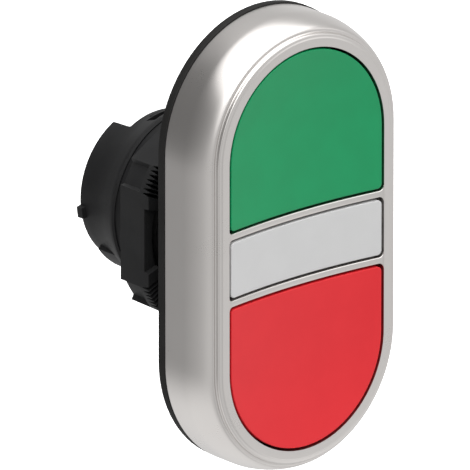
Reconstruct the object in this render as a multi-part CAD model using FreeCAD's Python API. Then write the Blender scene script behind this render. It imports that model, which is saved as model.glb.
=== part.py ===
"""Double push-button head for a 22 mm panel hole: green and red caps round a white lens.

Frame, in millimetres: the origin is on the axis of the threaded neck, in the plane of the
gasket's back face, which lies on the panel's front. +Y points behind the panel, +Z is up,
+X is to the right of a person who faces the buttons.
"""

import math
import os

import FreeCAD
import Part

V = FreeCAD.Vector

# ---------------------------------------------------------------- head, seen from the front
HEAD_WIDTH = 30.0  # across the bezel
ARC_RISE = 12.44  # from the head's centre to the centre of each round end
NECK_RISE = 0.64  # the neck's axis stands this far above the head's centre
HEAD_Z = -NECK_RISE
WINDOW_HALF = 11.64  # half the width of the windows, to the middle of the gap
LENS_HALF = 3.49  # half the height of the lens window, to the middle of the gap
BUTTON_LOW = 4.60  # where each button window starts, from the head's centre
GAP = 0.28  # all round each cap and the lens
CORNER = 0.6  # corner radius of the caps and of the lens
DISH = 0.90  # the face is hollowed by this much on its centre line

# ------------------------------------------------------------------ head, from front to back
GASKET_THICK = 1.08
HEAD_DEPTH = 7.57  # from the metal's back edge to the rim's plane
RIM_Y = -(GASKET_THICK + HEAD_DEPTH)
SHELF_DEPTH = 0.60  # the bezel's shelf round the rim stands this far behind it
SHELL_SIDE = 4.4  # the bezel's side is straight from its back up to here
SHELL_WALL = 1.4
SHELL_MOUTH = 13.45  # half the width of the opening that the front frame sits in
LIP_DEPTH = 2.2  # front of the inner lip under the frame
LIP_HALF = 12.6
LIP_THICK = 0.8
SEAL_HALF = 13.3  # outside of the rubber ring under the frame
FRAME_OUTER = 13.38
FRAME_SKIRT = 12.3
FRAME_FOOT = 2.0
SKIRT_DEPTH = 4.4
BAR_DEPTH = 2.9  # back of the two cross bars
LENS_BACK = 2.2  # backs of the lens, of its seal and of the light guide's plate
LENS_SEAL_BACK = 2.5
GUIDE_PLATE_BACK = 3.3
POST_X = 8.0  # the two posts behind the light guide's plate
BODY_HALF = 13.5  # half the width of the plastic body inside the bezel
BODY_WALL = 0.9
FLOOR_THICK = 0.8
GASKET_HALF = 15.1
GASKET_RISE = 0.13  # the gasket sits a little high behind the bezel

# --------------------------------------------------------------------------- moving inserts
CAP_DEPTH = 3.0  # the cap's skirt ends here, from the rim's plane
CAP_WALL = 1.1
CAP_FLOOR = 2.0
LEG_HALF = 2.6
UPPER_LEG = (5.2, 7.6)  # heights of the upper leg above the neck's axis
LOWER_LEG = (-8.4, -6.5)
STEM_OFFSET = 5.0  # plunger stems, above and below the neck's axis
STEM_R = 1.8
PUSHER_Y = (13.0, 15.5)
PUSHER_R = 7.3
FLANGE_Y = (1.0, 2.2)
FLANGE_R = 8.9
SPLIT = 2.1  # half the gap between the upper and the lower plunger
SPRING_WIRE_R = 0.25
SPRING_MEAN_R = 2.35
SPRING_TURNS = 6
SPRING_SIDES = 8  # the wire's section is a regular octagon
SPRING_CLEAR = 0.02  # from each end of a spring or boot to what it rests on
BOOT_FRONT_R = 3.3  # seal boots: outer radius in front and behind, and their wall
BOOT_BACK_R = 4.0
BOOT_WALL = 0.35
LEG_SLACK = 0.3  # round each leg in the body's floor
SLIDE_SLACK = 0.08  # round the stems and the light guide in the plunger guide

# ------------------------------------------------------------------------ behind the panel
NECK_R = 10.9
NECK_BORE = 9.2
THREAD_END = 9.6
NECK_END = 12.45
KEY_WIDTH = 3.0  # the key that stops the head turning, for the notch above the panel hole
KEY_TOP = 12.6
KEY_END = 2.6
GROOVE_R = 10.0
GUIDE_Y = (11.0, 12.2)
COLLAR_R = 9.45
COLLAR_FRONT_R = 11.05
COLLAR_LAND = 12.9  # end of the short land behind the collar's front edge
FLARE_END = 16.9
COLLAR_END = 20.15
COLLAR_BORE = 7.8
NOTCH_Y = 17.05
NOTCH_HALF_ANGLE = 27.0
TAIL_TAPER = 0.2  # the collar narrows by this over its last TAIL_LENGTH
TAIL_LENGTH = 1.0
LUG_R = 10.0
TOP_FLANGE = (75, 104)  # degrees round the neck, and lengths along it
TOP_FLANGE_Y = (15.25, 15.95)
POCKET = (77, 110)
POCKET_START = 13.45
POCKET_R = 8.5
LOW_LUG = (216, 324)
LOW_LUG_Y = (12.95, 18.5)
SIDE_LUG = (184, 192)
NUT_FRONT = 4.5
NUT_BACK = 8.65
NUT_TEETH = 3.75
NUT_FLATS = 26.5
NUT_CORNER_R = 14.45
NUT_BORE = 10.95
NUT_RECESS_R = 12.0
NUT_RECESS_DEPTH = 1.2
PAD_HALF_ANGLE = 13.7  # half the raised stretch round each corner of the nut
TOOTH_PITCH = 2.2  # degrees
TOOTH_DEPTH = 0.8
TEETH_EACH_SIDE = 3  # of the middle tooth of each corner
GUIDE_ROD_R = 1.5
GUIDE_ROD_END = 15.5


def depth(d):
    """Y of a point that lies d behind the rim's plane."""
    return RIM_Y + d


# ------------------------------------------------------------------------------ small tools
def prism(wire, y0, y1):
    """A flat wire drawn at Y = 0, pushed from y0 to y1."""
    face = Part.Face(wire)
    face.translate(V(0, y0, 0))
    return face.extrude(V(0, y1 - y0, 0))


def box(x0, x1, y0, y1, z0, z1):
    return Part.makeBox(x1 - x0, y1 - y0, z1 - z0, V(x0, y0, z0))


def rod(r, y0, y1, x=0.0, z=0.0):
    return Part.makeCylinder(r, y1 - y0, V(x, y0, z), V(0, 1, 0))


def polar(r, degrees):
    """X and Z of a point round the neck's axis; 0 degrees is +X and 90 degrees is up."""
    a = math.radians(degrees)
    return r * math.cos(a), r * math.sin(a)


def sector(r, start, end, y0, y1):
    """A wedge round the neck's axis between two angles, for cutting and for lugs."""
    reach = 2.0 * r
    steps = [start + (end - start) * i / 4.0 for i in range(5)]
    points = [V(0, 0, 0)] + [V(polar(reach, a)[0], 0, polar(reach, a)[1]) for a in steps]
    return prism(Part.makePolygon(points + points[:1]), y0, y1).common(rod(r, y0, y1))


def revolved(profile):
    """A closed outline of (radius, y) points turned round the neck's axis."""
    points = [V(r, y, 0) for r, y in profile]
    face = Part.Face(Part.makePolygon(points + points[:1]))
    return face.revolve(V(0, 0, 0), V(0, 1, 0), 360)


def stadium_wire(half, rise=0.0):
    """Two straight sides and two half circles round the head's centre."""
    top = HEAD_Z + ARC_RISE + rise
    low = HEAD_Z - ARC_RISE + rise
    edges = [
        Part.LineSegment(V(half, 0, low), V(half, 0, top)).toShape(),
        Part.Arc(V(half, 0, top), V(0, 0, top + half), V(-half, 0, top)).toShape(),
        Part.LineSegment(V(-half, 0, top), V(-half, 0, low)).toShape(),
        Part.Arc(V(-half, 0, low), V(0, 0, low - half), V(half, 0, low)).toShape(),
    ]
    return Part.Wire(edges)


def stadium(half, y0, y1, rise=0.0):
    return prism(stadium_wire(half, rise), y0, y1)


def stadium_ring(outer, inner, y0, y1):
    return stadium(outer, y0, y1).cut(stadium(inner, y0 - 1, y1 + 1))


def button_wire(half, low, corner):
    """Outline of the upper button window: flat below with small corners, round above."""
    z0 = HEAD_Z + low
    top = HEAD_Z + ARC_RISE
    c = corner
    s = c * (1 - math.sqrt(0.5))
    edges = [
        Part.LineSegment(V(-half + c, 0, z0), V(half - c, 0, z0)).toShape(),
        Part.Arc(V(half - c, 0, z0), V(half - s, 0, z0 + s), V(half, 0, z0 + c)).toShape(),
        Part.LineSegment(V(half, 0, z0 + c), V(half, 0, top)).toShape(),
        Part.Arc(V(half, 0, top), V(0, 0, top + half), V(-half, 0, top)).toShape(),
        Part.LineSegment(V(-half, 0, top), V(-half, 0, z0 + c)).toShape(),
        Part.Arc(V(-half, 0, z0 + c), V(-half + s, 0, z0 + s), V(-half + c, 0, z0)).toShape(),
    ]
    return Part.Wire(edges)


def button_prism(half, low, corner, y0, y1, side):
    """The button window's shape as a solid; side is 1 for the upper and -1 for the lower."""
    solid = prism(button_wire(half, low, corner), y0, y1)
    return solid if side > 0 else mirrored(solid)


def mirrored(solid):
    """Turn a piece half round the head's centre line, so that the upper one serves below."""
    turned = solid.copy()
    turned.rotate(V(0, 0, HEAD_Z), V(0, 1, 0), 180)
    return turned


def lens_prism(half_x, half_z, corner, y0, y1):
    solid = box(-half_x, half_x, y0, y1, HEAD_Z - half_z, HEAD_Z + half_z)
    upright = [e for e in solid.Edges if abs(e.tangentAt(e.FirstParameter).y) > 0.9]
    return solid.makeFillet(corner, upright)


def dish_tool():
    """A capsule whose side touches the centre line of the face, DISH below the rim's plane."""
    radius = (WINDOW_HALF**2 + DISH**2) / (2 * DISH)
    y = depth(DISH) - radius
    low, top = HEAD_Z - ARC_RISE, HEAD_Z + ARC_RISE
    side = Part.makeCylinder(radius, top - low, V(0, y, low), V(0, 0, 1))
    ends = [Part.makeSphere(radius, V(0, y, z)) for z in (low, top)]
    return side, ends


def dished(solid, side_only=False):
    """Hollow the front of a piece to the shallow dish of the face."""
    side, ends = dish_tool()
    solid = solid.cut(side)
    if not side_only:
        for end in ends:
            solid = solid.cut(end)
    return solid


# ------------------------------------------------------------------------------ head pieces
def shell_profile():
    """Half section of the bezel as edges of (half width, depth behind the rim)."""
    half = HEAD_WIDTH / 2
    curve = Part.BezierCurve()
    shoulder = [(half, SHELL_SIDE), (half, 3.2), (half - 0.58, 1.34), (half - 0.97, 0.83)]
    curve.setPoles([V(w, depth(d), 0) for w, d in shoulder])
    wall = half - SHELL_WALL
    rest = [
        shoulder[-1],
        (half - 1.21, SHELF_DEPTH),
        (SHELL_MOUTH, SHELF_DEPTH),
        (SHELL_MOUTH, LIP_DEPTH),
        (LIP_HALF, LIP_DEPTH),
        (LIP_HALF, LIP_DEPTH + LIP_THICK),
        (wall, LIP_DEPTH + LIP_THICK),
        (wall, HEAD_DEPTH),
        (half - 0.1, HEAD_DEPTH),
        (half, HEAD_DEPTH - 0.1),
        shoulder[0],
    ]
    points = [V(w, depth(d), 0) for w, d in rest]
    return Part.Wire([curve.toShape()] + Part.makePolygon(points).Edges)


def round_stadium(profile):
    """Carry a half section round the head: two straight sides and two turned ends."""
    top = V(0, 0, HEAD_Z + ARC_RISE)
    low = V(0, 0, HEAD_Z - ARC_RISE)
    face = Part.Face(profile)
    upper = face.copy()
    upper.translate(top)
    lower = face.copy()
    lower.translate(low)
    right = lower.extrude(top - low)
    left = right.copy()
    left.rotate(V(0, 0, HEAD_Z), V(0, 1, 0), 180)
    ends = [upper.revolve(top, V(0, 1, 0), -180), lower.revolve(low, V(0, 1, 0), 180)]
    return right.fuse([left] + ends).removeSplitter()


def bezel_shell():
    return round_stadium(shell_profile())


def front_frame():
    """The flat rim, its foot in the bezel's mouth, the window walls and the two cross bars."""
    inner = WINDOW_HALF + GAP / 2
    rim = stadium(FRAME_OUTER, depth(0), depth(FRAME_FOOT))
    skirt = stadium(FRAME_SKIRT, depth(FRAME_FOOT), depth(SKIRT_DEPTH))
    block = rim.fuse(skirt).removeSplitter()
    rim_edges = [e for e in block.Edges if abs(e.CenterOfMass.y - depth(0)) < 1e-6]
    block = block.makeFillet(0.12, rim_edges)
    y0, y1 = depth(-1), depth(SKIRT_DEPTH + 1)
    for side in (1, -1):
        block = block.cut(button_prism(inner, BUTTON_LOW - GAP / 2, CORNER, y0, y1, side))
    block = block.cut(lens_prism(inner, LENS_HALF + GAP / 2, CORNER, y0, y1))
    bars = BUTTON_LOW + GAP / 2 + CORNER
    block = block.cut(box(-inner, inner, depth(BAR_DEPTH), y1, HEAD_Z - bars, HEAD_Z + bars))
    return dished(block, side_only=True)


def cap(side):
    """A dished cap with a skirt, hollow behind for its carrier."""
    half, low = WINDOW_HALF - GAP / 2, BUTTON_LOW + GAP / 2
    solid = button_prism(half, low, CORNER, depth(-0.5), depth(CAP_DEPTH), side)
    hollow = button_prism(
        half - CAP_WALL, low + CAP_WALL, CORNER, depth(CAP_FLOOR), depth(CAP_DEPTH + 1), side
    )
    return dished(solid).cut(hollow)


def carrier(side):
    """The plate clipped into a cap, with the leg that goes through the body's floor."""
    half = WINDOW_HALF - GAP / 2 - CAP_WALL
    low = BUTTON_LOW + GAP / 2 + CAP_WALL
    plate = button_prism(half, low, CORNER, depth(CAP_FLOOR), depth(CAP_DEPTH), side)
    z0, z1 = UPPER_LEG if side > 0 else LOWER_LEG
    leg = box(-LEG_HALF, LEG_HALF, depth(CAP_DEPTH), FLANGE_Y[0], z0, z1)
    return plate.fuse(leg).removeSplitter()


def half_disc(r, y0, y1, side):
    """The part of a disc more than SPLIT above, or below, the neck's axis."""
    z0, z1 = (SPLIT, 2 * r) if side > 0 else (-2 * r, -SPLIT)
    return rod(r, y0, y1).common(box(-2 * r, 2 * r, y0, y1, z0, z1))


def plunger(side):
    """Spring flange in the neck, round stem, and the pusher that works the contacts."""
    flange = half_disc(FLANGE_R, FLANGE_Y[0], FLANGE_Y[1], side)
    stem = rod(STEM_R, FLANGE_Y[1], PUSHER_Y[0], 0, side * STEM_OFFSET)
    pusher = half_disc(PUSHER_R, PUSHER_Y[0], PUSHER_Y[1], side)
    return flange.fuse([stem, pusher]).removeSplitter()


def return_spring(side):
    """A helical spring round the stem, between the plunger's flange and the guide."""
    y0 = FLANGE_Y[1] + SPRING_WIRE_R + SPRING_CLEAR
    length = GUIDE_Y[0] - SPRING_WIRE_R - SPRING_CLEAR - y0
    helix = Part.makeHelix(length / SPRING_TURNS, length, SPRING_MEAN_R)
    around = [polar(SPRING_WIRE_R, 360 * i / SPRING_SIDES) for i in range(SPRING_SIDES)]
    points = [V(SPRING_MEAN_R + u, 0, w) for u, w in around]
    section = Part.makePolygon(points + points[:1])
    solid = Part.Wire(helix.Edges).makePipeShell([section], True, True)
    solid.rotate(V(0, 0, 0), V(1, 0, 0), -90)
    solid.translate(V(0, y0, side * STEM_OFFSET))
    return solid


def seal_boot(side):
    """A rubber cone round the leg, from the body's floor to the back of the carrier."""
    z = sum(UPPER_LEG if side > 0 else LOWER_LEG) / 2
    y0 = depth(CAP_DEPTH) + SPRING_CLEAR
    y1 = depth(HEAD_DEPTH - FLOOR_THICK) - SPRING_CLEAR
    outer, inner = [
        Part.makeCone(BOOT_FRONT_R - wall, BOOT_BACK_R - wall, y1 - y0, V(0, y0, z), V(0, 1, 0))
        for wall in (0, BOOT_WALL)
    ]
    return outer.cut(inner)


def indicator_lens():
    half = WINDOW_HALF - GAP / 2
    block = lens_prism(half, LENS_HALF - GAP / 2, CORNER, depth(-0.5), depth(LENS_BACK))
    return dished(block, side_only=True)


def lens_seal():
    half_x, half_z = WINDOW_HALF - GAP / 2, LENS_HALF - GAP / 2
    ring = lens_prism(half_x, half_z, CORNER, depth(LENS_BACK), depth(LENS_SEAL_BACK))
    hole = lens_prism(half_x - 1, half_z - 1, 0.3, depth(LENS_BACK - 1), depth(LENS_SEAL_BACK + 1))
    return ring.cut(hole)


def light_guide():
    """A clear plate behind the lens and a rod along the neck's axis to the lamp."""
    half_x, half_z = WINDOW_HALF - GAP / 2, LENS_HALF - GAP / 2
    plate = lens_prism(half_x, half_z, CORNER, depth(LENS_SEAL_BACK), depth(GUIDE_PLATE_BACK))
    return plate.fuse(rod(GUIDE_ROD_R, depth(GUIDE_PLATE_BACK), GUIDE_ROD_END)).removeSplitter()


def frame_seal():
    return stadium_ring(SEAL_HALF, LIP_HALF + 0.1, depth(FRAME_FOOT), depth(LIP_DEPTH))


# ------------------------------------------------------------------------ body and mounting
def mount_body():
    """Plastic body: outer wall, floor, lens posts and the threaded neck with its key."""
    floor_y = depth(HEAD_DEPTH - FLOOR_THICK)
    back_y = depth(HEAD_DEPTH)
    body = stadium(BODY_HALF, floor_y, back_y)
    wall = stadium_ring(BODY_HALF, BODY_HALF - BODY_WALL, depth(LIP_DEPTH + LIP_THICK), floor_y)
    posts = [box(x - 1, x + 1, depth(GUIDE_PLATE_BACK), floor_y, HEAD_Z - 2, HEAD_Z + 2)
             for x in (-POST_X, POST_X)]
    neck = revolved([
        (NECK_BORE, back_y),
        (NECK_R, back_y),
        (NECK_R, THREAD_END - 0.5),
        (NECK_R - 0.5, THREAD_END),
        (GROOVE_R, THREAD_END),
        (GROOVE_R, NECK_END),
        (NECK_BORE, NECK_END),
    ])
    key = box(-KEY_WIDTH / 2, KEY_WIDTH / 2, back_y, KEY_END, NECK_R - 0.5, KEY_TOP)
    body = body.fuse([wall, neck, key] + posts)
    reach = LEG_HALF + LEG_SLACK
    for z0, z1 in (UPPER_LEG, LOWER_LEG):
        hole = box(-reach, reach, floor_y - 1, back_y + 1, z0 - LEG_SLACK, z1 + LEG_SLACK)
        body = body.cut(hole)
    return body.cut(rod(GUIDE_ROD_R + LEG_SLACK, floor_y - 1, back_y + 1)).removeSplitter()


def plunger_guide():
    """A disc in the neck's end: holes for the two stems and for the light guide."""
    disc = rod(NECK_BORE - 0.02, GUIDE_Y[0], GUIDE_Y[1])
    for z in (-STEM_OFFSET, STEM_OFFSET):
        disc = disc.cut(rod(STEM_R + SLIDE_SLACK, GUIDE_Y[0] - 1, GUIDE_Y[1] + 1, 0, z))
    return disc.cut(rod(GUIDE_ROD_R + SLIDE_SLACK, GUIDE_Y[0] - 1, GUIDE_Y[1] + 1))


def rear_collar():
    """The flared collar that a contact holder clips onto, with its notch, pocket and lugs."""
    ring = revolved([
        (COLLAR_BORE, NECK_END),
        (COLLAR_FRONT_R - 0.2, NECK_END),
        (COLLAR_FRONT_R, NECK_END + 0.2),
        (COLLAR_FRONT_R, COLLAR_LAND),
        (COLLAR_R, FLARE_END),
        (COLLAR_R, COLLAR_END - TAIL_LENGTH),
        (COLLAR_R - TAIL_TAPER, COLLAR_END),
        (COLLAR_BORE, COLLAR_END),
    ])
    top_flange = sector(LUG_R, *TOP_FLANGE, *TOP_FLANGE_Y)
    low_lug = sector(LUG_R, *LOW_LUG, *LOW_LUG_Y)
    side_lug = sector(LUG_R, *SIDE_LUG, COLLAR_END - TAIL_LENGTH, COLLAR_END - 0.05)
    hollow = rod(COLLAR_BORE, 0, COLLAR_END + 1)
    ring = ring.fuse([lug.cut(hollow) for lug in (top_flange, low_lug, side_lug)])
    outside = COLLAR_FRONT_R + 1
    pocket = sector(outside, *POCKET, POCKET_START, TOP_FLANGE_Y[0]).cut(rod(POCKET_R, 0, 30))
    notch_angles = (90 - NOTCH_HALF_ANGLE, 90 + NOTCH_HALF_ANGLE)
    notch = sector(outside, *notch_angles, NOTCH_Y, COLLAR_END + 1)
    return ring.cut(pocket).cut(notch).removeSplitter()


def nut_blank():
    """Hexagon with turned corners, thread bore and a recess in its front face."""
    reach = NUT_FLATS / math.sqrt(3)
    points = [V(polar(reach, a)[0], 0, polar(reach, a)[1]) for a in range(30, 391, 60)]
    hexagon = prism(Part.makePolygon(points), NUT_TEETH, NUT_BACK)
    blank = hexagon.common(rod(NUT_CORNER_R, NUT_TEETH, NUT_BACK))
    blank = blank.cut(rod(NUT_BORE, 0, 20))
    return blank.cut(rod(NUT_RECESS_R, 0, NUT_FRONT + NUT_RECESS_DEPTH))


def tooth_groove(angle):
    """A V groove along a radius across the front face of the nut, at one angle."""
    half = 0.5 * NUT_CORNER_R * math.radians(TOOTH_PITCH) * 0.96
    top = NUT_TEETH - 0.1
    bottom = NUT_TEETH + TOOTH_DEPTH
    points = [V(NUT_RECESS_R - 1, top, -half), V(NUT_RECESS_R - 1, top, half),
              V(NUT_RECESS_R - 1, bottom, 0)]
    groove = Part.Face(Part.makePolygon(points + points[:1])).extrude(V(4, 0, 0))
    groove.rotate(V(0, 0, 0), V(0, 1, 0), -angle)
    return groove


def locking_nut():
    """Ring nut that clamps the panel: raised, toothed corners and plain stretches between."""
    nut = nut_blank()
    for flat in range(0, 360, 60):
        half = 30 - PAD_HALF_ANGLE
        nut = nut.cut(sector(20, flat - half, flat + half, NUT_TEETH - 1, NUT_FRONT))
    angles = [corner + TOOTH_PITCH * i for corner in range(30, 360, 60)
              for i in range(-TEETH_EACH_SIDE, TEETH_EACH_SIDE + 1)]
    return nut.cut(Part.makeCompound([tooth_groove(a) for a in angles]))


def panel_gasket():
    """Thin rubber sheet behind the bezel, with a round hole notched for the key."""
    plate = stadium(GASKET_HALF, depth(HEAD_DEPTH), 0, GASKET_RISE)
    notch_half = KEY_WIDTH / 2 + 0.1
    notch = box(-notch_half, notch_half, depth(0), 1, 0, KEY_TOP + 0.15)
    return plate.cut(rod(NECK_R + 0.1, depth(0), 1)).cut(notch)


# -------------------------------------------------------------------------------- the part
PIECES = {
    "bezel_shell": bezel_shell(),
    "front_frame": front_frame(),
    "frame_seal": frame_seal(),
    "green_button": cap(1),
    "red_button": cap(-1),
    "upper_carrier": carrier(1),
    "lower_carrier": carrier(-1),
    "upper_plunger": plunger(1),
    "lower_plunger": plunger(-1),
    "upper_return_spring": return_spring(1),
    "lower_return_spring": return_spring(-1),
    "upper_seal_boot": seal_boot(1),
    "lower_seal_boot": seal_boot(-1),
    "indicator_lens": indicator_lens(),
    "lens_seal": lens_seal(),
    "light_guide": light_guide(),
    "mount_body": mount_body(),
    "plunger_guide": plunger_guide(),
    "rear_collar": rear_collar(),
    "locking_nut": locking_nut(),
    "panel_gasket": panel_gasket(),
}

os.makedirs("parts", exist_ok=True)
for name, shape in PIECES.items():
    shape.exportStep("parts/" + name + ".step")
    solids = len(shape.Solids)
    print(name, "solids", solids, "volume", round(shape.Volume, 1), "valid", shape.isValid())
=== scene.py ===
"""Looks of a double push-button head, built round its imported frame.

Shapes are worked out in millimetres and go into their meshes in metres. +Y points behind the
panel, +Z is up and +X is to the right of a person who faces the buttons.
"""

import math

import bmesh
import bpy
import numpy as np
from mathutils import Matrix, Vector


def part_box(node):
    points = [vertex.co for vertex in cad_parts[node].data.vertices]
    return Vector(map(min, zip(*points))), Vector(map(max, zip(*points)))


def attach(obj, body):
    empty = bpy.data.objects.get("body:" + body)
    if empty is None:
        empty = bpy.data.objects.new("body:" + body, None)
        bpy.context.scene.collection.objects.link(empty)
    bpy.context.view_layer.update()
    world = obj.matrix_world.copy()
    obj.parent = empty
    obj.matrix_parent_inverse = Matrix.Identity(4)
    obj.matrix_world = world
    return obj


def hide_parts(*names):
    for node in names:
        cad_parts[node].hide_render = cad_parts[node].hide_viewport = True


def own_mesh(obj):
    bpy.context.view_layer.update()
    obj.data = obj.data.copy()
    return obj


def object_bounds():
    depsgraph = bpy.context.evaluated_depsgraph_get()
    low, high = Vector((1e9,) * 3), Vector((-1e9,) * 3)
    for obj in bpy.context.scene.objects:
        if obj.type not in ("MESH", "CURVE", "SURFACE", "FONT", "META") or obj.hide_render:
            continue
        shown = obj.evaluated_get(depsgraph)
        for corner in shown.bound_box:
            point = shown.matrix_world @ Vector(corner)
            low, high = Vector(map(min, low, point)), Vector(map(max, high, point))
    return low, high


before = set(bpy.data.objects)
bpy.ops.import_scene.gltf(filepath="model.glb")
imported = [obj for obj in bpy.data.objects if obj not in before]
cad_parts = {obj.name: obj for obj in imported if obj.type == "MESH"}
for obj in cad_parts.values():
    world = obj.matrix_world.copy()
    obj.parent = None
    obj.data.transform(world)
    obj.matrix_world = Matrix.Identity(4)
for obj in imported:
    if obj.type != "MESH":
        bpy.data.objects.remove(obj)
cad_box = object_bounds()

MM = 0.001
SHARP = math.radians(34)
ARC_STEP = 4  # degrees between the points of an outline's arcs


# ------------------------------------------------------------------ sizes, from the frame, in mm
def corners(node):
    """Lowest and highest corner of a CAD node, in millimetres."""
    return [np.array(corner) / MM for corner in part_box(node)]


bezel_low, bezel_high = corners("bezel_shell")
rim_low = corners("front_frame")[0]
gasket_low, gasket_high = corners("panel_gasket")
nut_low, nut_high = corners("locking_nut")
collar_low, collar_high = corners("rear_collar")

HEAD_HALF = bezel_high[0]
HEAD_Z = (bezel_high[2] + bezel_low[2]) / 2
ARC_RISE = (bezel_high[2] - bezel_low[2]) / 2 - HEAD_HALF
RIM_Y = rim_low[1]
BACK_Y = bezel_high[1]
HEAD_DEPTH = BACK_Y - RIM_Y
GASKET_HALF = gasket_high[0]
GASKET_Z = (gasket_high[2] + gasket_low[2]) / 2

# Windows are measured to the middle of the gap round each cap and the lens.
WINDOW_HALF = 11.64
GAP = 0.28
LENS_HALF = 3.49
BUTTON_LOW = 4.60
CORNER = 0.6
DISH = 0.90
SHELF_DEPTH = 0.60
SKIRT_DEPTH = 4.4
FRAME_OUTER = 13.41
STEM_Z = 5.0  # stems and springs stand this far above and below the neck's axis
NECK_R = 10.9
NECK_BORE = 9.2
THREAD_END = 9.6
NECK_END = collar_low[1]
PITCH = 1.6


# ------------------------------------------------------------------------- outlines and profiles
def outline(arcs, step):
    """Points and outward normals round a closed outline in X and Z.

    Each arc is (centre x, centre z, radius, first angle, last angle) in degrees, and straight
    stretches, cut into steps, join the end of one arc to the start of the next.
    """
    points, normals = [], []
    for arc, after in zip(arcs, arcs[1:] + arcs[:1]):
        x, z, radius, first, last = arc
        count = max(4, math.ceil((last - first) / ARC_STEP))
        a = np.radians(np.linspace(first, last, count + 1))
        ray = np.stack([np.cos(a), np.sin(a)], 1)
        here = np.array([x, z]) + radius * ray
        start = math.radians(after[3])
        there = np.array(after[:2]) + after[2] * np.array([math.cos(start), math.sin(start)])
        gap = np.linalg.norm(there - here[-1])
        inner = np.linspace(0, 1, max(1, round(gap / step)) + 1)[1:-1, None]
        straight = here[-1] + (there - here[-1]) * inner
        points += [here, straight]
        normals += [ray, np.repeat(ray[-1:], len(straight), 0)]
    return np.concatenate(points), np.concatenate(normals)


def stadium(radius, centre_z=HEAD_Z):
    """The head's outline: two half circles ARC_RISE above and below a centre."""
    top, low = centre_z + ARC_RISE, centre_z - ARC_RISE
    return outline([(0, top, radius, 0, 180), (0, low, radius, 180, 360)], 1.0)


def rounded_box(x0, x1, z0, z1, corner, step=0.5):
    """A rectangle's outline with a quarter circle at each corner."""
    arcs = [
        (x1 - corner, z1 - corner, corner, 0, 90),
        (x0 + corner, z1 - corner, corner, 90, 180),
        (x0 + corner, z0 + corner, corner, 180, 270),
        (x1 - corner, z0 + corner, corner, 270, 360),
    ]
    return outline(arcs, step)


def window(half, low, corner):
    """Outline of the upper cap: flat below with small corners, round above."""
    z = HEAD_Z + low + corner
    arcs = [
        (0, HEAD_Z + ARC_RISE, half, 0, 180),
        (corner - half, z, corner, 180, 270),
        (half - corner, z, corner, 270, 360),
    ]
    return outline(arcs, 0.4)


def half_disc(radius, low, corner):
    """The part of a disc above a chord, with rounded corners."""
    z = low + corner
    x = math.sqrt((radius - corner) ** 2 - z**2)
    turn = math.degrees(math.atan2(z, x))
    arcs = [
        (0, 0, radius, turn, 180 - turn),
        (-x, z, corner, 180 - turn, 270),
        (x, z, corner, 270, 360 + turn),
    ]
    return outline(arcs, 0.6)


def rounded(path, radii, steps=5, closed=True):
    """Replace each corner of a path by a parabola from a radius before it to a radius after.

    The point at t is (1-t)^2 before + 2t(1-t) corner + t^2 after. The path may carry more axes
    between its first, which counts corners, and its last, which holds the coordinates.
    """
    path = np.asarray(path, float)
    radii = np.asarray(radii, float).reshape((-1,) + (1,) * (path.ndim - 1))
    back = np.roll(path, 1, 0) - path
    ahead = np.roll(path, -1, 0) - path
    if not closed:
        back[0] = ahead[-1] = 0
    before = path + radii * back / np.maximum(np.linalg.norm(back, axis=-1, keepdims=True), 1e-9)
    after = path + radii * ahead / np.maximum(np.linalg.norm(ahead, axis=-1, keepdims=True), 1e-9)
    t = np.linspace(0, 1, steps + 1).reshape((1, -1) + (1,) * (path.ndim - 1))
    curve = (1 - t) ** 2 * before[:, None] + 2 * t * (1 - t) * path[:, None] + t**2 * after[:, None]
    curve = curve.reshape((-1,) + path.shape[1:])
    moved = np.abs(np.diff(curve, axis=0, prepend=curve[:1] - 1)).reshape(len(curve), -1).max(1)
    return curve[moved > 1e-6]


def bezier(a, b, c, d, steps):
    """Cubic curve: the four points weighted by (1-t)^3, 3t(1-t)^2, 3t^2(1-t) and t^3."""
    t = np.linspace(0, 1, steps + 1)[:, None]
    a, b, c, d = (np.array(p, float) for p in (a, b, c, d))
    return (1 - t) ** 3 * a + 3 * t * (1 - t) ** 2 * b + 3 * t**2 * (1 - t) * c + t**3 * d


def sweep(line, profile, hollow=0.0):
    """Rings of an outline moved out along its normals by profile[:, 0], at y = profile[:, 1].

    hollow, from 0 to 1 for each ring, adds that share of the face's dish to y.
    """
    points, normals = line
    profile = np.asarray(profile, float)
    flat = points + normals * profile[:, None, :1]
    share = np.broadcast_to(hollow, len(profile))[:, None]
    y = profile[:, None, 1] + share * dish(flat[..., 0], flat[..., 1])
    return np.stack([flat[..., 0], y, flat[..., 1]], -1)


def dish(x, z):
    """Depth of the hollow face: a capsule of large radius, DISH deep on its centre line."""
    radius = (WINDOW_HALF**2 + DISH**2) / (2 * DISH)
    over = np.maximum(np.abs(z - HEAD_Z) - ARC_RISE, 0)
    return DISH - radius + np.sqrt(radius**2 - x**2 - over**2)


def spread(ring, y, count, hollow=0.0):
    """Rings from a face's middle out to an outline: the outline shrunk towards its middle."""
    middle = (ring.max(0) + ring.min(0)) / 2
    t = (np.arange(1, count) / count)[:, None, None]
    flat = middle + (ring - middle) * t
    depth = y + hollow * dish(flat[..., 0], flat[..., 2])
    return np.stack([flat[..., 0], depth, flat[..., 2]], -1)


def turned(profile, sides=144):
    """Rings of a lathe shape: each (radius, y) of the profile carried round the neck's axis."""
    a = np.linspace(0, 2 * math.pi, sides, endpoint=False)
    r, y = np.asarray(profile, float).T
    around = [r[:, None] * np.cos(a), np.repeat(y[:, None], sides, 1), r[:, None] * np.sin(a)]
    return np.stack(around, -1)


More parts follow.
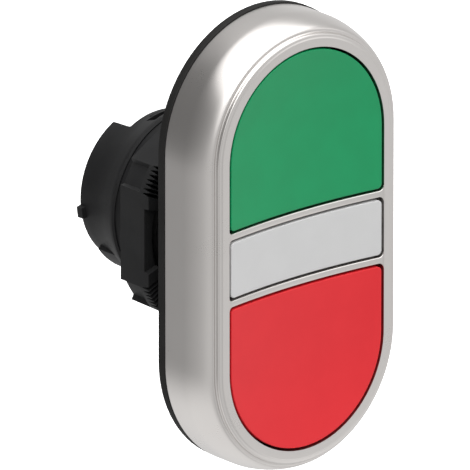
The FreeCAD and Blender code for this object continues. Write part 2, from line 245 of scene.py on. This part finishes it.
# -------------------------------------------------------------------------------------- meshes
def shell(rings, poles):
    """Vertices and faces of a closed grid.

    Rings run round in one direction. In the other the last ring meets the first one, or, with
    poles, the middle of the first and of the last ring closes its end with triangles.
    """
    rows, sides = rings.shape[:2]
    index = np.arange(rows * sides).reshape(rows, sides)
    after = np.roll(index, -1, 1)
    upper = slice(0, rows - 1) if poles else slice(0, rows)
    below, below_after = np.roll(index, -1, 0)[upper], np.roll(after, -1, 0)[upper]
    quads = np.stack([index[upper], after[upper], below_after, below], -1).reshape(-1, 4)
    points = rings.reshape(-1, 3)
    fans = np.zeros((0, 3), int)
    if poles:
        first, last = rows * sides, rows * sides + 1
        start = np.stack([np.full(sides, first), after[0], index[0]], -1)
        end = np.stack([np.full(sides, last), index[-1], after[-1]], -1)
        fans = np.concatenate([start, end])
        middles = [(ring.max(0) + ring.min(0)) / 2 for ring in (rings[0], rings[-1])]
        points = np.concatenate([points, middles])
    return points, quads, fans


def enclosed(points, quads, fans):
    """Signed volume inside a closed mesh, by the sum of a . (b x c) / 6 over its triangles."""
    triangles = np.concatenate([quads[:, :3], quads[:, [0, 2, 3]], fans])
    a, b, c = (points[triangles[:, k]] for k in range(3))
    return np.einsum("ij,ij->", a, np.cross(b, c)) / 6


def piece(name, shells, body, material, nodes=(), sharp=SHARP):
    """A mesh of one or more closed shells, facing out, riding on a body and given its finish."""
    points, faces, count = [], [], 0
    for rings, poles in shells:
        p, quads, fans = shell(rings, poles)
        turn = 1 if enclosed(p - p.mean(0), quads, fans) > 0 else -1
        points.append(p)
        faces += (quads[:, ::turn] + count).tolist() + (fans[:, ::turn] + count).tolist()
        count += len(p)
    mesh = bpy.data.meshes.new(name)
    mesh.from_pydata(np.concatenate(points) * MM, [], faces)
    work = bmesh.new()
    work.from_mesh(mesh)
    bmesh.ops.remove_doubles(work, verts=work.verts, dist=2e-7)
    bmesh.ops.dissolve_degenerate(work, edges=work.edges, dist=1e-8)
    work.to_mesh(mesh)
    work.free()
    mesh.polygons.foreach_set("use_smooth", [True] * len(mesh.polygons))
    mesh.set_sharp_from_angle(angle=sharp)
    mesh.materials.append(material)
    made = bpy.data.objects.new(name, mesh)
    bpy.context.scene.collection.objects.link(made)
    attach(made, body)
    if nodes:
        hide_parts(*nodes)
    return made


def slab(line, y0, y1, edge):
    """A flat plate of an outline with rounded edges, from y0 to y1."""
    inset = 1.8 * edge
    profile = rounded([(-inset, y0), (0, y0), (0, y1), (-inset, y1)], [0, edge, edge, 0],
                      closed=False)
    return sweep(line, profile), True


# ----------------------------------------------------------------------------------- materials
class Wire:
    """A value in a material's node tree. Arithmetic on it adds Math nodes."""

    # The Mix node's sockets for a factor and colours share their names, so they go by number.
    FACTOR, FIRST, SECOND, RESULT = 0, 6, 7, 2

    def __init__(self, tree, socket=None):
        self.tree = tree
        self.socket = socket

    def node(self, kind, settings=None, sockets=None, output=0):
        """Add a node: settings first, then the values or links of its sockets."""
        made = self.tree.nodes.new("ShaderNode" + kind)
        for name, value in (settings or {}).items():
            setattr(made, name, value)
        for name, value in (sockets or {}).items():
            if isinstance(value, Wire):
                self.tree.links.new(value.socket, made.inputs[name])
            else:
                made.inputs[name].default_value = value
        return Wire(self.tree, made.outputs[output])

    def math(self, operation, *values):
        return self.node("Math", {"operation": operation}, dict(enumerate(values)))

    def __add__(self, other):
        return self.math("ADD", self, other)

    __radd__ = __add__

    def __sub__(self, other):
        return self.math("SUBTRACT", self, other)

    def __rsub__(self, other):
        return self.math("SUBTRACT", other, self)

    def __mul__(self, other):
        return self.math("MULTIPLY", self, other)

    __rmul__ = __mul__

    def noise(self, size, detail=2.0, roughness=0.5):
        """Noise from 0 to 1 on Object coordinates, with bumps of about size, in metres."""
        place = self.node("TexCoord", output="Object")
        sockets = {"Vector": place, "Scale": 1 / size, "Detail": detail, "Roughness": roughness}
        return self.node("TexNoise", None, sockets, "Fac")

    def blend(self, share, one, other):
        """Colour between one and other."""
        sockets = {self.FACTOR: share, self.FIRST: (*one, 1), self.SECOND: (*other, 1)}
        return self.node("Mix", {"data_type": "RGBA"}, sockets, self.RESULT)

    def bump(self, height, strength, distance):
        """Normal tilted by a height, whose full step is distance metres."""
        sockets = {"Height": height, "Strength": strength, "Distance": distance}
        return self.node("Bump", None, sockets)

    def smooth(self, value, low, high):
        """0 below low and 1 above high, with an eased step between them."""
        settings = {"interpolation_type": "SMOOTHSTEP"}
        sockets = {"Value": value, "From Min": low, "From Max": high}
        return self.node("MapRange", settings, sockets)


def finish(name, recipe, **fixed):
    """A material: recipe(wire) gives the sockets that vary, fixed the ones that don't."""
    made = bpy.data.materials.new(name)
    made.use_nodes = True
    tree = made.node_tree
    shader = tree.nodes["Principled BSDF"]
    for socket, value in fixed.items():
        shader.inputs[socket.replace("_", " ")].default_value = value
    for socket, wire in recipe(Wire(tree)).items():
        tree.links.new(wire.socket, shader.inputs[socket])
    return made


def moulded(light, dark, rough, grain, depth):
    """Recipe for moulded plastic and rubber: a faint cloud of tone and a fine grain."""
    cloud = 0.004

    def recipe(wire):
        tone = wire.noise(cloud, 3.0)
        skin = wire.noise(grain, 3.0, 0.6)
        return {
            "Base Color": wire.blend(wire.smooth(tone, 0.3, 0.7), dark, light),
            "Roughness": rough + 0.08 * (skin - 0.5) + 0.05 * (tone - 0.5),
            "Normal": wire.bump(skin, 0.35, depth),
        }
    return recipe


def satin_plating(wire):
    """Satin chrome: a blasted grain under the plating, faintly uneven in sheen."""
    blast = wire.noise(0.00011, 3.0, 0.6)
    sheen = wire.noise(0.005, 2.0)
    return {
        "Base Color": wire.blend(sheen, (0.640, 0.614, 0.594), (0.672, 0.647, 0.627)),
        "Roughness": 0.285 + 0.03 * (blast - 0.5) + 0.04 * (sheen - 0.5),
        "Normal": wire.bump(blast, 0.02, 0.000003),
    }


def drawn_wire(wire):
    """Spring wire: faint dark drawing marks."""
    marks = wire.noise(0.0002, 4.0, 0.7)
    return {
        "Base Color": wire.blend(marks, (0.42, 0.42, 0.43), (0.60, 0.60, 0.61)),
        "Roughness": 0.25 + 0.2 * marks,
    }


def clear_plastic(wire):
    """Clear moulded plastic with a little haze in its surface."""
    haze = wire.noise(0.0006, 2.0)
    return {"Roughness": 0.05 + 0.08 * haze, "Normal": wire.bump(haze, 0.1, 0.00001)}


SATIN = finish("satin_chrome", satin_plating, Metallic=1.0)
GREEN = finish(
    "green_cap_plastic",
    moulded((0.002, 0.266, 0.094), (0.002, 0.252, 0.088), rough=0.42, grain=0.00016, depth=4e-6),
    Specular_IOR_Level=0.35)
RED = finish(
    "red_cap_plastic",
    moulded((0.660, 0.017, 0.024), (0.640, 0.015, 0.022), rough=0.42, grain=0.00016, depth=4e-6),
    Specular_IOR_Level=0.35)
WHITE = finish(
    "lens_plastic",
    moulded((0.546, 0.546, 0.546), (0.532, 0.532, 0.532), rough=0.36, grain=0.0003, depth=3e-6))
BLACK = finish(
    "black_moulding",
    moulded((0.016, 0.016, 0.0165), (0.012, 0.012, 0.0125), rough=0.54, grain=0.00014, depth=1e-5),
    Specular_IOR_Level=0.15)
NUT = finish(
    "nut_moulding",
    moulded((0.021, 0.021, 0.0215), (0.017, 0.017, 0.0175), rough=0.58, grain=0.00018, depth=8e-6),
    Specular_IOR_Level=0.14)
INNER = finish(
    "grey_moulding",
    moulded((0.31, 0.31, 0.32), (0.27, 0.27, 0.28), rough=0.45, grain=0.00018, depth=8e-6))
GASKET = finish(
    "gasket_sheet",
    moulded((0.0125, 0.012, 0.0115), (0.009, 0.0085, 0.008), rough=0.72, grain=0.00012,
            depth=12e-6),
    Specular_IOR_Level=0.25)
RUBBER = finish(
    "seal_rubber_skin",
    moulded((0.03, 0.03, 0.03), (0.022, 0.022, 0.022), rough=0.70, grain=0.00015, depth=1e-5))
STEEL = finish("drawn_spring_wire", drawn_wire, Metallic=1.0)
CLEAR = finish("clear_guide_plastic", clear_plastic, Transmission_Weight=1.0,
               Base_Color=(0.93, 0.95, 0.96, 1.0), IOR=1.49)


# -------------------------------------------------------------------------------- front of head
def depth(d):
    """Y of a point that lies d behind the rim's plane."""
    return RIM_Y + d


def satin_bezel():
    """Shell: straight side, soft front shoulder, shelf, mouth, inner lip and hollow back."""
    half, wall = HEAD_HALF, HEAD_HALF - 1.4
    mouth, lip = 13.45, 12.6
    lip_front, lip_back = 2.2, 3.0
    shoulder = bezier((half, 4.4), (half, 3.2), (half - 0.58, 1.34), (half - 0.97, 0.83), 16)
    inside = [
        shoulder[-1],
        (half - 1.21, SHELF_DEPTH),
        (mouth, SHELF_DEPTH),
        (mouth, lip_front),
        (lip, lip_front),
        (lip, lip_back),
        (wall, lip_back),
        (wall, HEAD_DEPTH),
        (half, HEAD_DEPTH),
        shoulder[0],
    ]
    bends = rounded(inside, [0, 0.13, 0.02, 0.05, 0.1, 0.1, 0.3, 0.1, 0.12, 0], closed=False)
    profile = np.concatenate([shoulder[:-1], bends[:-1]])
    profile[:, 1] = depth(profile[:, 1])
    rings = sweep(stadium(0), profile)
    piece("satin_bezel", [(rings, False)], "head", SATIN, ["bezel_shell"])


def rim_ring():
    """Front rim: hollow foot, edge, outer slope, a fine step up to the flat, and the window wall."""
    outer, inner, skirt, ledge = FRAME_OUTER, WINDOW_HALF + GAP / 2 + 0.03, 12.3, 2.0
    foot = bezier((outer + 0.12, 0.61), (outer + 0.02, 0.60), (outer - 0.02, 0.50),
                  (outer - 0.03, 0.36), 5)
    top = rounded([(outer - 0.03, 0.36), (outer - 0.05, 0.11), (outer - 0.46, 0.070),
                   (outer - 0.60, 0.0), (outer - 0.9, 0.0)], [0, 0.20, 0.07, 0.08, 0], closed=False)
    slope = np.concatenate([foot[:-1], top[:-1]])
    rest = rounded([(inner, 0.0), (inner, SKIRT_DEPTH), (skirt, SKIRT_DEPTH), (skirt, ledge),
                    (outer, ledge)], [0.17, 0.1, 0.1, 0.05, 0], closed=False)
    profile = np.concatenate([slope, rest])
    profile[:, 1] = depth(profile[:, 1])
    return sweep(stadium(0), profile), False


def cross_bar(z):
    """A dished bar between two windows, widening at its ends into their round corners.

    Its half height is the bar's, plus corner (1 - cos t) over the last corner sin t of length.
    """
    reach = WINDOW_HALF + GAP / 2
    half = (BUTTON_LOW - LENS_HALF - GAP) / 2 - 0.02
    bury, bar_depth = 0.17, 2.9
    t = np.linspace(0, math.pi / 2, 9)
    end = reach - CORNER + CORNER * np.sin(t)
    flare = CORNER * (1 - np.cos(t))
    along = np.linspace(0, reach - CORNER, 40)[:-1]
    right = np.concatenate([along, end, [reach + bury]])
    grow = np.concatenate([np.zeros(len(along)), flare, flare[-1:]])
    x = np.concatenate([-right[:0:-1], right])
    h = half + np.concatenate([grow[:0:-1], grow])
    front = depth(DISH * (1 - (x / (reach + bury)) ** 2))
    back = np.full(len(x), depth(bar_depth))
    section = np.stack([
        np.stack([x, back, z - h], -1),
        np.stack([x, front, z - h], -1),
        np.stack([x, front, z + h], -1),
        np.stack([x, back, z + h], -1),
    ])
    return rounded(section, [0.05, 0.17, 0.17, 0.05]).transpose(1, 0, 2), True


def satin_frame():
    """Rim and both cross bars, whose centres lie midway between the lens and a cap's flat side."""
    middle = (BUTTON_LOW + LENS_HALF) / 2
    shells = [rim_ring(), cross_bar(HEAD_Z + middle), cross_bar(HEAD_Z - middle)]
    piece("satin_frame", shells, "head", SATIN, ["front_frame"])


def dished_block(line, back, wall, floor):
    """A block with a hollow face: rounded front edge, straight skirt, recess behind.

    Rings on the front edge follow the face's dish in full, and those behind it not at all.
    """
    run_in, edge_round, floor_rim = 0.5, 0.14, 0.8
    edge = rounded([(-run_in, 0), (0, 0), (0, back)], [0, edge_round, 0], steps=7, closed=False)
    inside = rounded([(0, back), (-wall, back), (-wall, floor), (-wall - floor_rim, floor)],
                     [0.08, 0.08, 0.2, 0], closed=False)
    profile = np.concatenate([edge[:-1], inside])
    profile[:, 1] = depth(profile[:, 1])
    follow = (np.arange(len(profile)) < len(edge) - 1).astype(float)
    skirt = sweep(line, profile, follow)
    face = spread(skirt[0], depth(0), 26, 1.0)
    under = spread(skirt[-1], depth(floor), 8)[::-1]
    return np.concatenate([face, skirt, under]), True


def turned_over(shell_and_poles):
    """The same shell, half turned round the head's centre line."""
    rings, poles = shell_and_poles
    return rings * (-1, 1, -1) + (0, 0, 2 * HEAD_Z), poles


def caps():
    """Green cap above, and red cap below as the same block half turned."""
    half, low = WINDOW_HALF - GAP / 2, BUTTON_LOW + GAP / 2
    block = dished_block(window(half, low, CORNER), back=3.0, wall=1.1, floor=2.0)
    piece("green_cap", [block], "green_push", GREEN, ["green_button"])
    piece("red_cap", [turned_over(block)], "red_push", RED, ["red_button"])


def lens_strip():
    """Dished strip between the bars."""
    half, tall = WINDOW_HALF - GAP / 2, LENS_HALF - GAP / 2
    line = rounded_box(-half, half, HEAD_Z - tall, HEAD_Z + tall, CORNER, 0.4)
    block = dished_block(line, back=2.2, wall=1.0, floor=1.6)
    piece("lens_strip", [block], "head", WHITE, ["indicator_lens"])


def rubber_gasket():
    """Sheet between the head's outline and a round hole notched for the key.

    The hole's radius at an angle from straight up is the larger of the hole's own and the
    nearer of the notch's top and its side.
    """
    hole, notch_half, notch_top, shorter = NECK_R + 0.1, 1.6, 12.75, 0.07
    points = stadium(GASKET_HALF, GASKET_Z)[0]
    points[:, 1] -= shorter * (points[:, 1] - GASKET_Z) / (gasket_high[2] - GASKET_Z)
    from_top = np.arctan2(points[:, 0], points[:, 1])
    top = notch_top / np.maximum(np.cos(from_top), 1e-3)
    side = notch_half / np.maximum(np.abs(np.sin(from_top)), 1e-3)
    radius = np.where(np.cos(from_top) > 0, np.maximum(hole, np.minimum(top, side)), hole)
    inner = np.stack([radius * np.sin(from_top), radius * np.cos(from_top)], -1)
    y0, y1 = gasket_low[1], gasket_high[1]
    section = np.stack([
        np.stack([x, np.full(len(x), y), z], -1)
        for x, y, z in ((inner[:, 0], y0, inner[:, 1]), (points[:, 0], y0, points[:, 1]),
                        (points[:, 0], y1, points[:, 1]), (inner[:, 0], y1, inner[:, 1]))
    ])
    rings = rounded(section, [0.1, 0.18, 0.18, 0.1])
    piece("rubber_gasket", [(rings, False)], "head", GASKET, ["panel_gasket"])


# ---------------------------------------------------------------------------- behind the panel
def angles(marks, blur, count=360):
    """Angles in degrees: an even spread, with a close pair at each mark for a steep step."""
    pairs = np.concatenate([np.array(marks) - blur / 2, np.array(marks) + blur / 2])
    even = np.arange(0, 360, 360 / count)
    near = np.abs((even[:, None] - pairs + 180) % 360 - 180).min(1) < blur
    return np.unique(np.concatenate([even[~near], pairs % 360]))


def between(value, low, high, blur):
    """1 from low to high and 0 outside, with a straight ramp as wide as blur at each end."""
    rise = np.clip((value - low) / blur + 0.5, 0, 1)
    fall = np.clip((high - value) / blur + 0.5, 0, 1)
    return rise * fall


def toothed_nut():
    """Hexagon whose corners are turned to a radius, with teeth on the corners' front.

    The outer radius is the smaller of flats / cos(angle from a flat) and the turned radius, and
    behind the teeth each corner between two flats is cut back to a smaller one.
    The front face stands forward round the corners, less a wave with flat tops and bottoms for
    the teeth in the middle of each.
    """
    flats, turned_r, cut_r, pad, pitch, tall = 13.25, 14.45, 13.87, 13.7, 2.2, 1.1
    teeth_half, cut_half, ledge = 3.5 * pitch, 6.4, nut_low[1] + 1.6
    bore, recess, plain, floor = 10.95, 12.0, nut_low[1] + 0.75, nut_low[1] + 1.95
    teeth, back = nut_low[1], nut_high[1]
    ends = (-pad, -cut_half, cut_half, pad)
    marks = [corner + end for corner in range(30, 360, 60) for end in ends]
    a = angles(marks, 0.4, 1152)
    from_corner = np.abs(a % 60 - 30)
    on_pad = between(from_corner, -1, pad, 0.4)
    wave = np.abs((from_corner / pitch) % 1 - 0.5) * 2
    groove = np.clip(1.6 * wave - 0.4, 0, 1) * (from_corner < teeth_half)
    front = plain + (teeth - plain) * on_pad + tall * groove
    outer = np.minimum(flats / np.cos(np.radians((a + 30) % 60 - 30)), turned_r)
    rear = outer + (cut_r - outer) * between(from_corner, -1, cut_half - 0.4, 1.2)
    ones = np.ones(len(a))
    section = [
        (bore * ones, floor * ones), (recess * ones, floor * ones), (recess * ones, front),
        (outer, front), (outer, ledge * ones), (rear, ledge * ones), (rear, back * ones),
        (bore * ones, back * ones),
    ]
    section = np.stack([np.stack(pair, -1) for pair in section])
    bends = [0.15, 0.1, 0.1, 0.10, 0.02, 0.02, 0.09, 0.20]
    r, y = np.moveaxis(rounded(section, bends, steps=4), -1, 0)
    turn = np.radians(a)
    rings = np.stack([r * np.cos(turn), y, r * np.sin(turn)], -1)
    piece("toothed_ring_nut", [(rings, False)], "ring_nut", NUT,
          ["locking_nut"], math.radians(28))


def flared_collar():
    """Collar as a radius over angle and length: a flare, less a pocket, plus three lugs.

    Where the notch is, lengths past its floor are held at the floor.
    """
    start, end = collar_low[1], collar_high[1]
    bore, front_r, tail_r, lug_r, pocket_r = 7.8, collar_high[0], 9.45, 10.0, 8.5
    land, flare_end, notch_y = 12.9, 16.9, 17.05
    notch, pocket, pocket_y = (63, 117), (77, 110), (start + 1.0, 15.25)
    blur, soft = 0.06, 0.5  # widths of the ramps, in mm along the collar and in degrees round it
    lugs = [(75, 104, 15.25, 15.95), (216, 324, start + 0.5, 18.5),
            (184, 192, end - 1.0, end - 0.06)]
    marks = [*notch, *pocket, *(a for lug in lugs for a in lug[:2])]
    a = angles(marks, soft, 288)
    levels = [*pocket_y, notch_y, *(y for lug in lugs for y in lug[2:])]
    pairs = [y + side * blur / 2 for y in levels for side in (-1, 1)]
    y = np.unique(np.round(np.concatenate([np.linspace(start + 0.25, end - 0.1, 46), pairs]), 4))
    y = y[(y > start + 0.2) & (y < end - 0.02)]
    flare = rounded([(start, front_r), (land, front_r), (flare_end, tail_r), (end - 1.0, tail_r),
                     (end, tail_r - 0.1)], [0, 0.45, 1.8, 0.5, 0], steps=8, closed=False)
    base = np.interp(y, *flare.T)[:, None]
    radius = np.repeat(base, len(a), 1)
    dug = between(a, *pocket, soft) * between(y, *pocket_y, blur)[:, None]
    radius = radius + (pocket_r - radius) * dug
    for first, last, low, high in lugs:
        here = between(a, first, last, soft) * between(y, low, high, blur)[:, None]
        radius = np.where(here > 0, np.maximum(radius, base + (lug_r - base) * here), radius)
    ones = np.ones((1, len(a)))
    front = np.array([(bore + 0.3, start), (front_r - 0.2, start)])
    tail = np.array([(tail_r - 0.22, end), (bore + 0.2, end), (bore, end - 0.2),
                     (bore, start + 0.3)])
    r = np.concatenate([front[:, :1] * ones, radius, tail[:, :1] * ones])
    length = np.concatenate([front[:, 1], y, tail[:, 1]])[:, None] * ones
    past_end = end + 1
    floor = past_end + (notch_y - past_end) * between(a, *notch, soft)
    length = np.minimum(length, floor)
    turn = np.radians(a)
    rings = np.stack([r * np.cos(turn), length, r * np.sin(turn)], -1)
    piece("flared_collar", [(rings, False)], "head", BLACK,
          ["rear_collar"], math.radians(30))


def body_pan():
    """Plastic body inside the bezel: wall, posts for the lens, and a floor laid round the holes.

    The floor is two side strips and a middle column in four lengths, between which the legs and
    the light guide's rod pass.
    """
    floor_y, back_y, front_y = depth(HEAD_DEPTH - 0.8), depth(HEAD_DEPTH), depth(3.0)
    outside, inside, hollow = 13.5, 12.6, 9.0
    reach, side, leg_half, lap = 21.5, 9.6, 2.9, 0.02
    profile = rounded([(outside, front_y), (outside, back_y), (hollow, back_y), (hollow, floor_y),
                       (inside, floor_y), (inside, front_y)], [0.1, 0.1, 0, 0, 0.2, 0.1])
    shells = [(sweep(stadium(0), profile), False)]
    strips = [(-side, -leg_half, HEAD_Z - reach, HEAD_Z + reach),
              (leg_half, side, HEAD_Z - reach, HEAD_Z + reach)]
    for low, high in ((HEAD_Z - reach, -8.7), (-6.2, -1.8), (1.8, 4.9), (7.9, HEAD_Z + reach)):
        strips.append((-leg_half - lap, leg_half + lap, low, high))
    for strip in strips:
        line = rounded_box(*strip, corner=0.3, step=1.5)
        shells.append(slab(line, floor_y + lap, back_y - lap, edge=0.05))
    for x in (-8, 8):
        line = rounded_box(x - 1, x + 1, HEAD_Z - 2, HEAD_Z + 2, 0.3)
        shells.append(slab(line, depth(3.3), floor_y + 0.2, edge=0.1))
    piece("body_pan", shells, "head", BLACK, ["mount_body"])


def threaded_neck():
    """Neck with a true helical thread, and the key that stops the head turning.

    The radius is the crest's, less a depth times a rounded wave of (y / pitch - turn).
    """
    back_y, sides = depth(HEAD_DEPTH), 180
    thread_depth, relief, tail_r = 0.62, 0.55, 10.7
    key_half, key_top, key_back = 1.5, 12.6, 2.6
    a = np.linspace(0, 2 * math.pi, sides, endpoint=False)
    y = np.linspace(back_y + 0.3, THREAD_END, 96)[:, None]
    wave = np.abs(((y / PITCH - a / (2 * math.pi)) % 1) - 0.5) * 2
    cut = thread_depth * np.clip(1.5 * wave - 0.25, 0, 1)
    fade = np.clip((y - 0.2) / 0.8, 0, 1) * np.clip((THREAD_END - y) / 0.7, 0, 1)
    thread = NECK_R - cut * fade - relief * np.clip((y - THREAD_END + 0.5) / 0.5, 0, 1)
    ends = [(NECK_BORE, back_y), (NECK_R - 0.1, back_y), (NECK_R, back_y + 0.1)]
    tail = [(tail_r, THREAD_END + 0.35), (tail_r, NECK_END), (NECK_BORE, NECK_END)]
    helix = np.stack([thread * np.cos(a), np.broadcast_to(y, thread.shape), thread * np.sin(a)], -1)
    neck = np.concatenate([turned(ends, sides), helix, turned(tail, sides)])
    line = rounded_box(-key_half, key_half, NECK_R - 0.8, key_top, corner=0.25)
    key = slab(line, back_y, key_back, edge=0.15)
    piece("threaded_neck", [(neck, False), key], "head",
          BLACK, ["mount_body"])


# ------------------------------------------------------------------------------- moving inserts
def plunger(name, body, node):
    """Spring flange, round stem and pusher, the first and last with rounded edges."""
    flange_r, pusher_r, chord, stem_r = 8.9, 7.3, 2.1, 1.8
    flange = slab(half_disc(flange_r, chord, 0.4), 1.0, 2.2, edge=0.12)
    pusher = slab(half_disc(pusher_r, chord, 0.5), 13.0, 15.5, edge=0.25)
    stem = turned([(stem_r, y) for y in (2.1, 5.0, 9.0, 13.1)], 48) + (0, 0, STEM_Z)
    shells = [flange, pusher, (stem, True)]
    if body == "red_push":
        shells = [(rings * (-1, 1, -1), poles) for rings, poles in shells]
    piece(name, shells, body, INNER, [node])


def coil_spring(name, side, node):
    """Round wire along a helix: a circle across the tangent, carried up the turns."""
    wire_r, mean_r, coils = 0.25, 2.35, 6
    low, high = (c[1] for c in corners(node))
    low, high = low + wire_r, high - wire_r
    t = np.linspace(0, coils, coils * 40 + 1)
    turn = 2 * math.pi * t
    rise = low + (high - low) * t / coils
    centre = np.stack([mean_r * np.cos(turn), rise, mean_r * np.sin(turn)], -1)
    tangent = np.gradient(centre, axis=0)
    tangent /= np.linalg.norm(tangent, axis=1, keepdims=True)
    out = np.stack([np.cos(turn), 0 * turn, np.sin(turn)], -1)
    up = np.cross(tangent, out)
    a = np.linspace(0, 2 * math.pi, 12, endpoint=False)[None, :, None]
    rings = centre[:, None] + wire_r * (np.cos(a) * out[:, None] + np.sin(a) * up[:, None])
    rings = rings + (0, 0, side * STEM_Z)
    made = piece(name, [(rings, True)], "head", STEEL, [node])
    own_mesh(made)


def bellows(name, node):
    """Boot with two folds: a cone's radius plus a wave along its length, and a thin wall."""
    front_r, widening, fold, wall = 3.0, 0.65, 0.16, 0.3
    low, high = corners(node)
    z = (low[2] + high[2]) / 2
    t = np.linspace(0, 1, 25)
    y = low[1] + (high[1] - low[1]) * t
    r = front_r + widening * t + fold * (1 - np.cos(4 * math.pi * t))
    profile = np.concatenate([np.stack([r + wall, y], -1), np.stack([r, y], -1)[::-1]])
    rings = turned(profile, 72) + (0, 0, z)
    made = piece(name, [(rings, False)], "head", RUBBER, [node])
    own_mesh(made)


# -------------------------------------------------------------------------------------- staging
def white_room():
    """Studio light round the head: pale all over, with one dim patch and eight bright ones."""
    world = bpy.data.worlds.new("white_room")
    bpy.context.scene.world = world
    world.use_nodes = True
    tree = world.node_tree
    wire = Wire(tree)
    way = wire.node("TexCoord", output="Generated")

    def towards(direction, wide, narrow):
        """1 within narrow degrees of a direction and 0 past wide degrees."""
        unit = Vector(direction).normalized()
        along = wire.node("VectorMath", {"operation": "DOT_PRODUCT"}, {0: way, 1: unit}, "Value")
        return wire.smooth(along, math.cos(math.radians(wide)), math.cos(math.radians(narrow)))

    patches = [
        (-0.42, (-0.65, 0.70, 0.30), 62, 14),  # dim, behind on the left
        (0.40, (-0.25, 0.25, -0.93), 58, 22),  # below
        (0.14, (0.72, -0.68, -0.15), 55, 14),  # front right, level
        (0.10, (-0.84, -0.43, -0.33), 40, 10),  # left, a little low
        (0.50, (0.62, -0.70, 0.36), 30, 8),  # front right, raised
        (0.38, (0.60, -0.48, -0.64), 22, 8),  # front right, low
        (0.20, (0.84, 0.50, -0.30), 50, 14),  # right, behind
        (0.6, (-0.55, -0.55, 0.62), 38, 18),  # front left, raised
        (1.7, (-0.03, -0.20, 0.98), 51.5, 43),  # soft box overhead
    ]
    light = 0.62
    for strength, direction, wide, narrow in patches:
        light = light + strength * towards(direction, wide, narrow)
    seen = wire.node("LightPath", output="Is Camera Ray")
    light = light * (1 - seen) + 1.0 * seen
    background = tree.nodes["Background"]
    tree.links.new(light.socket, background.inputs["Strength"])
    background.inputs["Color"].default_value = (1, 1, 1, 1)


def pale_floor():
    """Plain pale floor a hand's width below the head, left out of its reflections and light."""
    drop, half = 0.10, 3.0
    mesh = bpy.data.meshes.new("pale_floor")
    z = cad_box[0].z - drop
    square = [(-half, -half, z), (half, -half, z), (half, half, z), (-half, half, z)]
    mesh.from_pydata(square, [], [(0, 1, 2, 3)])
    floor = bpy.data.objects.new("pale_floor", mesh)
    bpy.context.scene.collection.objects.link(floor)
    paint = finish("floor_paint", lambda wire: {}, Base_Color=(0.9, 0.9, 0.9, 1), Roughness=0.9,
                   Emission_Color=(1, 1, 1, 1), Emission_Strength=0.55)
    mesh.materials.append(paint)
    floor.visible_glossy = False
    floor.visible_diffuse = False


def camera():
    """Long lens, so that parallel edges stay nearly parallel."""
    turn, lift = math.radians(41.37), math.radians(19.51)
    right = Vector((math.cos(turn), -math.sin(turn), 0))
    back = Vector((-math.sin(turn) * math.cos(lift), -math.cos(turn) * math.cos(lift),
                   math.sin(lift)))
    up = back.cross(right)
    lens, sensor, width = 1600.0, 36.0, 0.05375
    rim_middle = Vector((0, RIM_Y, HEAD_Z)) * MM
    to_left, upwards = 0.008237, 0.001652
    aim = rim_middle - right * to_left + up * upwards
    data = bpy.data.cameras.new("long_lens")
    data.lens = lens
    data.sensor_width = sensor
    data.clip_end = 20.0
    made = bpy.data.objects.new("long_lens", data)
    made.location = aim + back * (width * lens / sensor)
    made.rotation_mode = "QUATERNION"
    made.rotation_quaternion = Matrix((right, up, back)).transposed().to_quaternion()
    bpy.context.scene.collection.objects.link(made)
    bpy.context.scene.camera = made


# ----------------------------------------------------------------------------------- the object
camera()
pale_floor()
white_room()
bpy.context.scene.view_settings.view_transform = "Standard"

satin_bezel()
satin_frame()
caps()
lens_strip()
rubber_gasket()
toothed_nut()
flared_collar()
body_pan()
threaded_neck()
plunger("upper_pusher", "green_push", "upper_plunger")
plunger("lower_pusher", "red_push", "lower_plunger")
coil_spring("upper_coil", 1, "upper_return_spring")
coil_spring("lower_coil", -1, "lower_return_spring")
bellows("upper_bellows", "upper_seal_boot")
bellows("lower_bellows", "lower_seal_boot")

for node, material in {
    "frame_seal": RUBBER,
    "lens_seal": RUBBER,
    "upper_carrier": INNER,
    "lower_carrier": INNER,
    "plunger_guide": INNER,
    "light_guide": CLEAR,
}.items():
    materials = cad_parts[node].data.materials
    materials.clear()
    materials.append(material)
